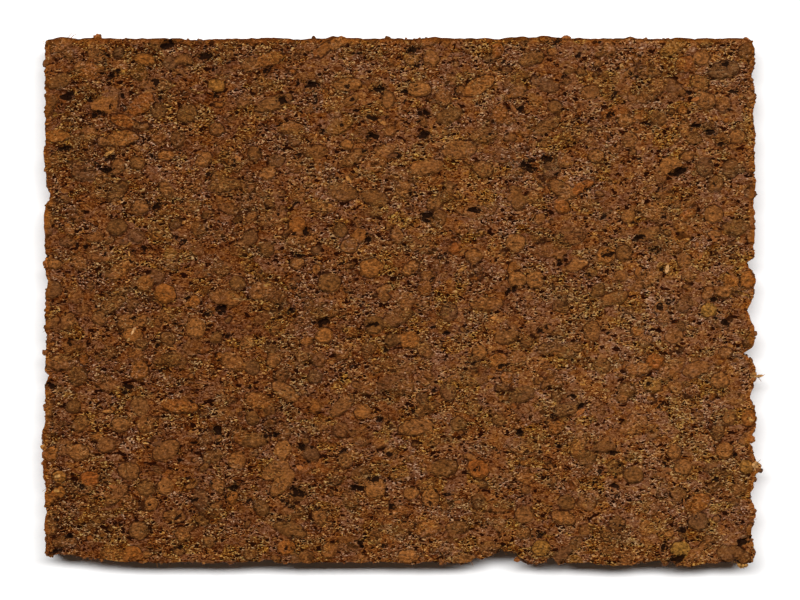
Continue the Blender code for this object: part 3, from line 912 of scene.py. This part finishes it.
def add_pits(graph, place):
    """Pits of the torn dough, and finer pits between them."""
    between = graph.vector("ADD", place, (7.0, 3.0, 1.0))
    return graph.dots(place, *PITS), graph.dots(between, *FINE_PITS)


def crumb_grain_group():
    """Fine pits, wavy crevices, ridges and glints of the torn dough; the pits, crevices and gaps are
    painted dark as shade, and the ridges, pit lips and glints painted light as highlights.
    """
    graph, given, result = new_group(
        "crumb grain",
        (("Place", "Vector"),),
        (
            ("Tone", "Float"), ("Speck", "Float"), ("Height", "Float"), ("Glint", "Float"),
            ("Hole", "Float"), ("Granule", "Color"), ("Patch", "Color"),
        ),
    )
    place = given["Place"]
    slope = (0.0, 0.0, math.radians(-8))
    drawn_out = {"Vector": place, "Rotation": slope, "Scale": (0.66, 1.0, 1.0)}
    lying = graph.add("ShaderNodeMapping", drawn_out).outputs[0]
    torn = graph.warped(graph.warped(lying, 0.8, 0.35), 2.3, 0.16)
    pits, fine_pits = add_pits(graph, torn)
    lit_pits = graph.math("MAXIMUM", *add_pits(graph, graph.vector("ADD", torn, LIT_LIP)))
    thread = graph.noise(torn, 2.2, 1.0)
    granule_colour = graph.cells(torn, 1.9)[1]
    granule = graph.parts(granule_colour)
    own = graph.parts(graph.cells(graph.vector("ADD", torn, (3.0, 5.0, 8.0)), 5.6)[1])
    # Painted shade: small dark spots where gaps in the crumb would be shaded
    gap_shade = graph.step(graph.noise(torn, 0.85, 1.0), 0.66, 0.69)
    patch = graph.cells(graph.warped(lying, 0.5, 0.8), 0.50)[1]
    looks = graph.parts(patch)
    open_crumb = graph.total((graph.noise(place, 0.16, 2.0), 1.6), (looks[2], 0.8))
    open_crumb = graph.step(open_crumb, 0.85, 1.30, 0.18, 1.0)
    # Painted shade: holes darken the tone where pits lie in open crumb
    holes = graph.product(graph.math("MAXIMUM", pits, fine_pits), open_crumb)
    firm = graph.math("SUBTRACT", 1.0, holes)
    # Painted highlight: the lip beside each pit is lightened as if lit
    lip_highlight = graph.product(lit_pits, open_crumb, firm)
    # Painted shade: thin dark crevice lines along the thread noise
    crack = graph.band(thread, 0.45, 0.035)
    crack_shade = graph.product(crack, graph.step(granule[2], 0.22, 0.42), open_crumb)
    # Painted highlight: thin light lines along ridges of the thread noise
    ridge = graph.band(thread, 0.56, 0.03)
    ridges = graph.product(ridge, graph.step(granule[2], 0.60, 0.75), open_crumb)
    # Painted glints: rare bright specks of moist crumb that would catch the light; they also lower the
    # roughness
    painted_glints = graph.product(graph.step(own[2], 0.915, 0.945), open_crumb, firm)
    speck = graph.math("SUBTRACT", graph.math("POWER", own[0], 1.35), 0.425)
    speck = graph.product(speck, graph.math("MULTIPLY_ADD", open_crumb, 0.3, 0.7))
    # Painted light: the crumb grows slightly lighter towards +x, as if more light fell on the right
    along = graph.add("ShaderNodeSeparateXYZ", {"Vector": place}).outputs[0]
    # Tone: the crumb's own random tone, with painted shade of holes, crevices and gaps, and painted
    # highlights on pit lips, ridges and glints
    tone = graph.total(
        (thread, 0.14), (granule[0], 0.08), (speck, 0.54), (graph.noise(place, 0.35, 1.0), 0.14),
        (looks[0], 0.10), (graph.noise(place, 0.04, 1.0), 0.14), (along, 0.0010), (open_crumb, -0.07),
        (holes, -1.60), (lip_highlight, 0.40), (crack_shade, -0.95), (ridges, 0.26), (painted_glints, 0.75), (gap_shade, -0.60),
    )
    graph.feed(result["Tone"], graph.math("ADD", tone, 0.26))
    graph.feed(result["Speck"], speck)
    graph.feed(result["Granule"], granule_colour)
    graph.feed(result["Height"], graph.total((thread, 0.20), (pits, -0.26)))
    graph.feed(result["Glint"], painted_glints)
    # Painted shade: Hole carries the shaded holes and crevices, which also darken pores and show over
    # kernels
    graph.feed(result["Hole"], graph.math("MINIMUM", graph.math("ADD", holes, crack_shade), 1.0))
    graph.feed(result["Patch"], patch)
    return graph.tree


def kernel_section_group():
    """A cut kernel: its tone, faint rings, a crease or a dot in the middle, its bran skin, and a painted
    highlight inside its rim.
    """
    graph, given, result = new_group(
        "kernel section",
        (("Place", "Vector"), ("Edge", "Float"), ("Look", "Vector"), ("Local", "Vector")),
        (("Mask", "Float"), ("Skin", "Float"), ("Colour", "Color"), ("Height", "Float")),
    )
    place = given["Place"]
    look = graph.add("ShaderNodeSeparateXYZ", {"Vector": given["Look"]}).outputs
    ragged = graph.noise(place, 1.0, 2.0)
    edge = graph.math("SUBTRACT", graph.total((given["Edge"], 1.0), (ragged, 0.7)), 0.35)
    mask = graph.product(graph.step(edge, 0.0, 0.12), look[1])
    base = graph.ramp(look[0], (
        (0.00, shown(98, 62, 34)),
        (0.16, shown(106, 66, 29)),
        (0.38, shown(124, 76, 36)),
        (0.62, shown(141, 87, 40)),
        (0.78, shown(137, 79, 30)),
        (0.88, shown(133, 70, 25)),
        (1.00, shown(142, 98, 40)),
    ))
    radius = graph.add("ShaderNodeVectorMath", {0: given["Local"]}, operation="LENGTH")
    reach = radius.outputs["Value"]
    wobble = graph.noise(place, 0.9, 1.0)
    rings = graph.math("SINE", graph.total((reach, 15.0), (wobble, 12.0)))
    parts = graph.add("ShaderNodeSeparateXYZ", {"Vector": given["Local"]}).outputs
    narrow = graph.total((graph.math("ABSOLUTE", parts[1]), 1.0), (wobble, 0.20))
    crease = graph.product(
        graph.step(narrow, 0.11, 0.22, 1.0, 0.0), graph.step(reach, 0.35, 0.6, 1.0, 0.0),
        graph.step(look[2], 0.6, 0.7),
    )
    dot = graph.product(
        graph.step(reach, 0.10, 0.24, 1.0, 0.0), graph.step(look[2], 0.25, 0.35, 1.0, 0.0)
    )
    mark = graph.math("MAXIMUM", crease, dot)
    grain = graph.noise(graph.vector("MULTIPLY", place, (0.75, 1.0, 1.0)), 2.8, 2.0)
    skin = graph.product(
        graph.step(edge, -0.16, -0.06), graph.step(edge, 0.04, 0.14, 1.0, 0.0),
        graph.step(wobble, 0.38, 0.52), graph.step(look[1], 0.2, 0.65),
    )
    # Painted highlight: a light arc just inside a kernel's rim, where the wobble allows
    painted_shine = graph.product(
        graph.step(edge, 0.12, 0.20), graph.step(edge, 0.26, 0.42, 1.0, 0.0),
        graph.step(wobble, 0.50, 0.62),
    )
    light = graph.total(
        (rings, 0.08), (grain, 2.4), (ragged, 0.5), (mark, -0.40), (painted_shine, 0.35), (1.0, -0.50)
    )
    graph.feed(result["Mask"], mask)
    graph.feed(result["Skin"], skin)
    graph.feed(result["Colour"], graph.scaled(base, graph.math("MAXIMUM", light, 0.2)))
    dome = graph.step(edge, -0.08, 0.40)
    graph.feed(result["Height"], graph.total((dome, 0.32), (grain, 0.10), (mark, -0.06)))
    return graph.tree


def crumb_material(colours):
    """Rye crumb with kernels, pores and a pressed rim, after the surface's own attributes."""
    material = bpy.data.materials.new("dark_rye_crumb")
    material.use_nodes = True
    graph = Graph(material.node_tree)
    read = {
        name: graph.add("ShaderNodeAttribute", attribute_name=name).outputs
        for name in ("kernel_edge", "kernel_look", "kernel_place", "pore_edge", "rim_place")
    }
    place = graph.scaled(graph.add("ShaderNodeTexCoord").outputs["Object"], 1 / MM)
    grain = graph.add("ShaderNodeGroup")
    grain.node_tree = crumb_grain_group()
    graph.feed(grain.inputs["Place"], place)
    kernel = graph.add("ShaderNodeGroup")
    kernel.node_tree = kernel_section_group()
    graph.feed(kernel.inputs["Place"], place)
    graph.feed(kernel.inputs["Edge"], read["kernel_edge"]["Fac"])
    graph.feed(kernel.inputs["Look"], read["kernel_look"]["Vector"])
    graph.feed(kernel.inputs["Local"], read["kernel_place"]["Vector"])

    # The dark end of this ramp is painted shade and the light end painted highlight, with the crumb's own
    # tone between
    dough = graph.ramp(grain.outputs["Tone"], (
        (0.06, tuple(colours.pit)),
        (0.21, tuple(colours.deep)),
        (0.37, tuple(colours.dark)),
        (0.50, tuple(colours.middle)),
        (0.63, tuple(colours.light)),
        (0.80, tuple(colours.bright)),
        (1.00, tuple(colours.glint)),
    ))
    looks = graph.parts(grain.outputs["Patch"])
    own = graph.parts(grain.outputs["Granule"])
    tints = (
        (looks[1], 0.55, 0.80, (1.06, 0.95, 0.60)), (looks[1], 0.45, 0.20, (0.97, 1.00, 1.18)),
        (looks[2], 0.60, 0.85, (0.95, 1.03, 0.68)), (own[1], 0.60, 0.75, (1.09, 0.96, 0.64)),
        (own[1], 0.35, 0.20, (1.00, 0.99, 1.08)), (own[2], 0.70, 0.80, (1.03, 1.03, 0.66)),
    )
    for value, first, last, tint in tints:
        share = graph.step(value, first, last)
        dough = graph.mix(graph.product(share, 0.7), dough, (*tint, 1.0), "MULTIPLY")
    flour = graph.math("MULTIPLY_ADD", grain.outputs["Speck"], 0.70, 1.10)
    section = graph.scaled(kernel.outputs["Colour"], flour)
    # Painted shade of holes and crevices shows over kernels too
    cover = graph.math("MULTIPLY_ADD", grain.outputs["Hole"], -0.45, 1.0)
    colour = graph.mix(graph.product(kernel.outputs["Mask"], cover), dough, section)
    colour = graph.mix(graph.product(kernel.outputs["Skin"], 0.85), colour, (*colours.bran, 1.0))

    edge = graph.add("ShaderNodeSeparateXYZ", {"Vector": read["rim_place"]["Vector"]}).outputs
    ragged = graph.noise(place, 0.8, 2.0)
    rim = graph.step(graph.math("ADD", edge[0], ragged), 0.6, 1.7)
    front = PLAIN_WIDTH / MM
    rim = graph.math("MAXIMUM", rim, graph.step(edge[1], front - 2.5, front - 0.8, 0.0, 0.9))
    tinted = graph.mix(1.0, colour, RIM_TINT, "MULTIPLY")
    tinted = graph.mix(0.25, tinted, (*colours.rim, 1.0))
    colour = graph.mix(rim, tinted, colour)
    back = graph.step(graph.total((edge[1], 1.0), (ragged, 0.6)), 0.35, 0.75, 0.75, 0.0)
    colour = graph.mix(back, colour, (*colours.dark, 1.0))
    # Painted shade: pores darken towards their floors
    torn = graph.noise(place, 1.35, 2.0)
    deep = graph.total((read["pore_edge"]["Fac"], 1.0), (torn, 2.0), (grain.outputs["Hole"], 0.35))
    colour = graph.mix(graph.step(deep, 1.03, 1.25, 0.0, 0.96), colour, (*colours.pore_shade, 1.0))

    between = graph.math("SUBTRACT", 1.0, kernel.outputs["Mask"])
    level = graph.math("MULTIPLY_ADD", grain.outputs["Height"], between, kernel.outputs["Height"])
    bump = graph.add("ShaderNodeBump", {"Height": level, "Distance": MM, "Strength": 1.0})
    shader = graph.add("ShaderNodeBsdfPrincipled")
    graph.feed(shader.inputs["Base Color"], colour)
    graph.feed(shader.inputs["Roughness"], graph.math("MULTIPLY_ADD", grain.outputs["Glint"], -0.3, 0.85))
    graph.feed(shader.inputs["Normal"], bump.outputs["Normal"])
    shader.inputs["Specular IOR Level"].default_value = 0.03
    output = graph.add("ShaderNodeOutputMaterial")
    graph.feed(output.inputs["Surface"], shader.outputs[0])
    return material


def loose_material(name):
    """Toasted crumb or bran, coloured by each piece's own tone."""
    material = bpy.data.materials.new(name)
    material.use_nodes = True
    graph = Graph(material.node_tree)
    place = graph.scaled(graph.add("ShaderNodeTexCoord").outputs["Object"], 1 / MM)
    tone = graph.add("ShaderNodeAttribute", attribute_name="loose_tone").outputs["Fac"]
    base = graph.ramp(tone, (
        (0.00, shown(86, 48, 18)),
        (0.35, shown(118, 70, 32)),
        (0.65, shown(158, 92, 40)),
        (0.88, shown(176, 126, 62)),
        (1.00, shown(206, 158, 112)),
    ))
    grain = graph.noise(place, 2.4, 2.0)
    light = graph.math("MAXIMUM", graph.total((grain, 3.0), (1.0, -0.55)), 0.25)
    bump = graph.add("ShaderNodeBump", {"Height": grain, "Distance": 0.25 * MM, "Strength": 1.0})
    shader = graph.add("ShaderNodeBsdfPrincipled")
    graph.feed(shader.inputs["Base Color"], graph.scaled(base, light))
    graph.feed(shader.inputs["Normal"], bump.outputs["Normal"])
    shader.inputs["Roughness"].default_value = 0.75
    shader.inputs["Specular IOR Level"].default_value = 0.12
    output = graph.add("ShaderNodeOutputMaterial")
    graph.feed(output.inputs["Surface"], shader.outputs[0])
    return material


def in_frame(x, y, z):
    """A place in metres in the frame from one in millimetres from the plain rectangle's middle."""
    return Vector((x * MM + PLAIN_CENTRE.x, y * MM + PLAIN_CENTRE.y, z * MM))


def add_pebble(place, half_axes, turn, tone, splits=OTHER_SPLITS):
    """A ball drawn out along its axes, with its tone; half axes are in millimetres."""
    bpy.ops.mesh.primitive_ico_sphere_add(subdivisions=splits, radius=MM, location=place, rotation=turn)
    item = bpy.context.object
    item.scale = half_axes
    bpy.ops.object.transform_apply(location=True, rotation=True, scale=True)
    write_attribute(item.data, "loose_tone", np.full(len(item.data.vertices), tone))
    return item


def join_pieces(items, name):
    """Makes one object of many, at the origin."""
    bpy.ops.object.select_all(action="DESELECT")
    for item in items:
        item.select_set(True)
    bpy.context.view_layer.objects.active = items[0]
    bpy.ops.object.join()
    joined = bpy.context.object
    joined.name = name
    return joined


def roughen(item, size, reach):
    """Crumples a surface with clouds of a size, by no more than about the reach."""
    activate(item)
    clouds = bpy.data.textures.new(f"{item.name}_clouds", "CLOUDS")
    clouds.noise_scale = size
    clouds.noise_depth = 1
    bpy.ops.object.modifier_add(type="DISPLACE")
    modifier = item.modifiers[-1]
    modifier.texture = clouds
    modifier.texture_coords = "LOCAL"
    modifier.strength = 2 * reach
    modifier.mid_level = 0.5
    bpy.ops.object.modifier_apply(modifier=modifier.name)


def finish_loose(item, name):
    item.data.materials.clear()
    item.data.materials.append(loose_material(name))
    activate(item)
    bpy.ops.object.shade_smooth_by_angle(angle=math.radians(50))
    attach(item, "root")


def side_place(draws, side, weights):
    """A random place on the slice's sides: left, right, front and back are weighted."""
    which = draws.choices(range(4), weights)[0]
    along = draws.uniform(-0.5, 0.5)
    half_length = PLAIN_LENGTH / 2
    half_width = PLAIN_WIDTH / 2
    start = (
        (-half_length, along * PLAIN_WIDTH),
        (half_length, along * PLAIN_WIDTH),
        (along * PLAIN_LENGTH, -half_width),
        (along * PLAIN_LENGTH, half_width),
    )[which]
    level = draws.choice((draws.uniform(5.6, 6.9), draws.uniform(0.7, 6.6)))
    place, outward = side.find(*start, level * MM)
    return Vector((place.x, place.y, level * MM)), outward.to_3d()


def make_edge_crumbs(settings):
    """Crumbs that cling to the torn sides."""
    draws = random.Random(settings.seed)
    side = Side(bpy.data.objects[SLAB])
    items = []
    for x, y, z, length, width, turn, tone in MARKED_CRUMBS:
        half_axes = (length / 2, width / 2, 0.4 * (length + width) / 2)
        place = in_frame(x, y, z)
        items.append(add_pebble(place, half_axes, (0.3, 0.2, math.radians(turn)), tone, MARKED_SPLITS))
    for _ in range(settings.crumb_count):
        place, outward = side_place(draws, side, (32, 36, 26, 6))
        size = min(draws.lognormvariate(-1.15, 0.45), 0.65)
        half_axes = (size * draws.uniform(0.7, 1.5), size, size * draws.uniform(0.6, 1.0))
        turn = (draws.uniform(0, 3), draws.uniform(0, 3), draws.uniform(0, 3))
        tone = min(max(draws.gauss(0.34, 0.2), 0.0), 1.0)
        place.z = min(place.z, SLICE_TOP - 1.5 * size * MM)
        items.append(add_pebble(place - outward * 0.2 * size * MM, half_axes, turn, tone))
    crumbs = join_pieces(items, "edge_crumbs")
    roughen(crumbs, 0.45 * MM, 0.30 * MM)
    finish_loose(crumbs, "toasted_crumb")


def make_bran_flakes(settings):
    """Thin flakes of bran pressed into the upper face."""
    draws = random.Random(settings.seed + 1)
    items = []
    for x, y, length, width, turn, tone in MARKED_FLAKES:
        half_axes = (length / 2, width / 2, 0.12)
        place = in_frame(x, y, SLICE_TOP / MM - MARKED_FLAKE_SINK)
        items.append(add_pebble(place, half_axes, (0.1, 0.1, math.radians(turn)), tone, MARKED_SPLITS))
    for _ in range(settings.flake_count):
        x = draws.uniform(-0.47, 0.47) * PLAIN_LENGTH / MM
        y = draws.uniform(-0.47, 0.47) * PLAIN_WIDTH / MM
        length = draws.uniform(0.5, 1.1)
        half_axes = (length, length * draws.uniform(0.22, 0.5), 0.09)
        turn = (draws.gauss(0, 0.12), draws.gauss(0, 0.12), draws.gauss(0.2, 0.7))
        tone = draws.uniform(0.1, 0.85)
        place = in_frame(x, y, SLICE_TOP / MM - FLAKE_SINK)
        items.append(add_pebble(place, half_axes, turn, tone))
    flakes = join_pieces(items, "bran_flakes")
    roughen(flakes, 0.5 * MM, 0.05 * MM)
    finish_loose(flakes, "bran")


def add_hair(start, end, bow, width):
    """A bowed fibre between two places, thin at its end."""
    bpy.ops.curve.primitive_bezier_curve_add(location=(0, 0, 0))
    item = bpy.context.object
    curve = item.data
    points = curve.splines[0].bezier_points
    side = (end - start).cross(Vector((0, 0, 1))).normalized() * bow * MM
    lift = Vector((0, 0, abs(bow) * 0.4 * MM))
    for point, place, radius in ((points[0], start, 1.0), (points[1], end, 0.35)):
        point.handle_left_type = "FREE"
        point.handle_right_type = "FREE"
        point.co = place
        point.radius = radius
    third = (end - start) / 3
    points[0].handle_left = start - third
    points[0].handle_right = start + third + side + lift
    points[1].handle_left = end - third + side + lift
    points[1].handle_right = end + third
    curve.dimensions = "3D"
    curve.resolution_u = 8
    curve.bevel_depth = width / 2
    curve.bevel_resolution = 2
    curve.use_fill_caps = True
    bpy.ops.object.convert(target="MESH")
    return bpy.context.object


def make_bran_hairs(settings):
    """Fine bran fibres that stick out of the sides."""
    draws = random.Random(settings.seed + 2)
    side = Side(bpy.data.objects[SLAB])
    items = []
    for start, end, bow in MARKED_HAIRS:
        items.append(add_hair(in_frame(*start), in_frame(*end), bow, settings.hair_width))
    for _ in range(settings.hair_count):
        place, outward = side_place(draws, side, (30, 34, 26, 10))
        along = Vector((-outward.y, outward.x, 0.0)) * draws.uniform(-1.2, 1.2)
        reach = outward * draws.uniform(0.4, 1.1) + along + Vector((0, 0, draws.uniform(-0.3, 0.2)))
        start = place - outward * 0.6 * MM
        width = 0.8 * settings.hair_width
        items.append(add_hair(start, place + reach * MM, draws.uniform(-0.3, 0.3), width))
    hairs = join_pieces(items, "bran_hairs")
    bpy.ops.object.mode_set(mode="EDIT")
    bpy.ops.mesh.select_all(action="SELECT")
    bpy.ops.mesh.remove_doubles(threshold=0.001 * MM)
    bpy.ops.mesh.normals_make_consistent(inside=False)
    bpy.ops.object.mode_set(mode="OBJECT")
    write_attribute(hairs.data, "loose_tone", np.full(len(hairs.data.vertices), FIBRE_TONE))
    finish_loose(hairs, "bran_fibre")


class RYE_OT_make_slice(bpy.types.Operator):
    """Makes the slice's crumb over its plain solid"""

    bl_idname = "rye.make_slice"
    bl_label = "Slice"

    def execute(self, context):
        slab = make_slice(context.scene.rye_slice)
        slab.data.materials.append(crumb_material(context.scene.rye_colours))
        activate(slab)
        bpy.ops.object.shade_smooth_by_angle(angle=math.radians(60))
        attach(slab, "root")
        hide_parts(NODE)
        return {"FINISHED"}


class RYE_OT_make_edge_crumbs(bpy.types.Operator):
    """Adds the crumbs that cling to the slice's sides"""

    bl_idname = "rye.make_edge_crumbs"
    bl_label = "Edge crumbs"

    def execute(self, context):
        make_edge_crumbs(context.scene.rye_loose)
        return {"FINISHED"}


class RYE_OT_make_bran_flakes(bpy.types.Operator):
    """Adds the bran flakes in the slice's upper face"""

    bl_idname = "rye.make_bran_flakes"
    bl_label = "Bran flakes"

    def execute(self, context):
        make_bran_flakes(context.scene.rye_loose)
        return {"FINISHED"}


class RYE_OT_make_bran_hairs(bpy.types.Operator):
    """Adds the bran fibres at the slice's sides"""

    bl_idname = "rye.make_bran_hairs"
    bl_label = "Bran fibres"

    def execute(self, context):
        make_bran_hairs(context.scene.rye_loose)
        return {"FINISHED"}


class RYE_OT_make_stage(bpy.types.Operator):
    """Sets up the floor, the lights and the camera"""

    bl_idname = "rye.make_stage"
    bl_label = "Stage"

    def execute(self, context):
        studio = context.scene.rye_studio
        bpy.ops.object.select_all(action="DESELECT")
        bpy.ops.mesh.primitive_plane_add(size=12.0, location=(0, 0, -0.05 * MM))
        floor = context.object
        floor.name = "floor"
        material = bpy.data.materials.new("floor")
        material.use_nodes = True
        shader = material.node_tree.nodes["Principled BSDF"]
        shader.inputs["Base Color"].default_value = (*studio.floor_colour, 1.0)
        shader.inputs["Roughness"].default_value = 0.9
        floor.data.materials.append(material)

        aim = Vector((VIEW_POINT.x, VIEW_POINT.y, SLICE_TOP))
        way = Vector((0.0, math.sin(studio.key_tilt), math.cos(studio.key_tilt)))
        lamp = bpy.data.lights.new("key_light", "AREA")
        lamp.shape = "RECTANGLE"
        lamp.size = 2 * studio.key_distance * math.tan(KEY_HALF_LENGTH)
        lamp.size_y = 2 * studio.key_distance * math.tan(KEY_HALF_WIDTH)
        lamp.energy = studio.key_power
        key = bpy.data.objects.new("key_light", lamp)
        key.location = aim + way * studio.key_distance
        key.rotation_euler = way.to_track_quat("Z", "Y").to_euler()
        context.scene.collection.objects.link(key)

        world = bpy.data.worlds.new("studio")
        world.use_nodes = True
        background = world.node_tree.nodes["Background"]
        background.inputs["Strength"].default_value = studio.fill
        background.inputs["Color"].default_value = FILL_COLOUR
        context.scene.world = world

        view = bpy.data.cameras.new("camera")
        view.sensor_width = SENSOR_WIDTH
        view.lens = SENSOR_WIDTH * studio.camera_height / (PICTURE_WIDTH_PIXELS * PIXEL_SIZE)
        view.clip_start = 0.01
        camera = bpy.data.objects.new("camera", view)
        camera.location = (VIEW_POINT.x, VIEW_POINT.y, SLICE_TOP + studio.camera_height)
        context.scene.collection.objects.link(camera)
        context.scene.camera = camera
        context.scene.view_settings.view_transform = "Standard"
        return {"FINISHED"}


class RYE_PT_slice(bpy.types.Panel):
    """Settings of the slice and buttons that make its pieces"""

    bl_idname = "RYE_PT_slice"
    bl_label = "Rye slice"
    bl_space_type = "VIEW_3D"
    bl_region_type = "UI"
    bl_category = "Rye slice"

    def draw(self, context):
        layout = self.layout
        scene = context.scene
        for settings in (scene.rye_slice, scene.rye_loose, scene.rye_colours, scene.rye_studio):
            box = layout.box()
            for name in settings.__annotations__:
                box.prop(settings, name)
        for operator in STEPS:
            layout.operator(operator.bl_idname)


STEPS = (
    RYE_OT_make_slice,
    RYE_OT_make_edge_crumbs,
    RYE_OT_make_bran_flakes,
    RYE_OT_make_bran_hairs,
    RYE_OT_make_stage,
)
CLASSES = (SliceSettings, LooseSettings, CrumbColours, StudioSettings, *STEPS, RYE_PT_slice)


def register():
    for item in CLASSES:
        bpy.utils.register_class(item)
    bpy.types.Scene.rye_slice = PointerProperty(type=SliceSettings)
    bpy.types.Scene.rye_loose = PointerProperty(type=LooseSettings)
    bpy.types.Scene.rye_colours = PointerProperty(type=CrumbColours)
    bpy.types.Scene.rye_studio = PointerProperty(type=StudioSettings)


def unregister():
    del bpy.types.Scene.rye_studio
    del bpy.types.Scene.rye_colours
    del bpy.types.Scene.rye_loose
    del bpy.types.Scene.rye_slice
    for item in reversed(CLASSES):
        bpy.utils.unregister_class(item)


def main():
    register()
    bpy.ops.rye.make_slice()
    bpy.ops.rye.make_edge_crumbs()
    bpy.ops.rye.make_bran_flakes()
    bpy.ops.rye.make_bran_hairs()
    bpy.ops.rye.make_stage()


if __name__ == "__main__":
    main()
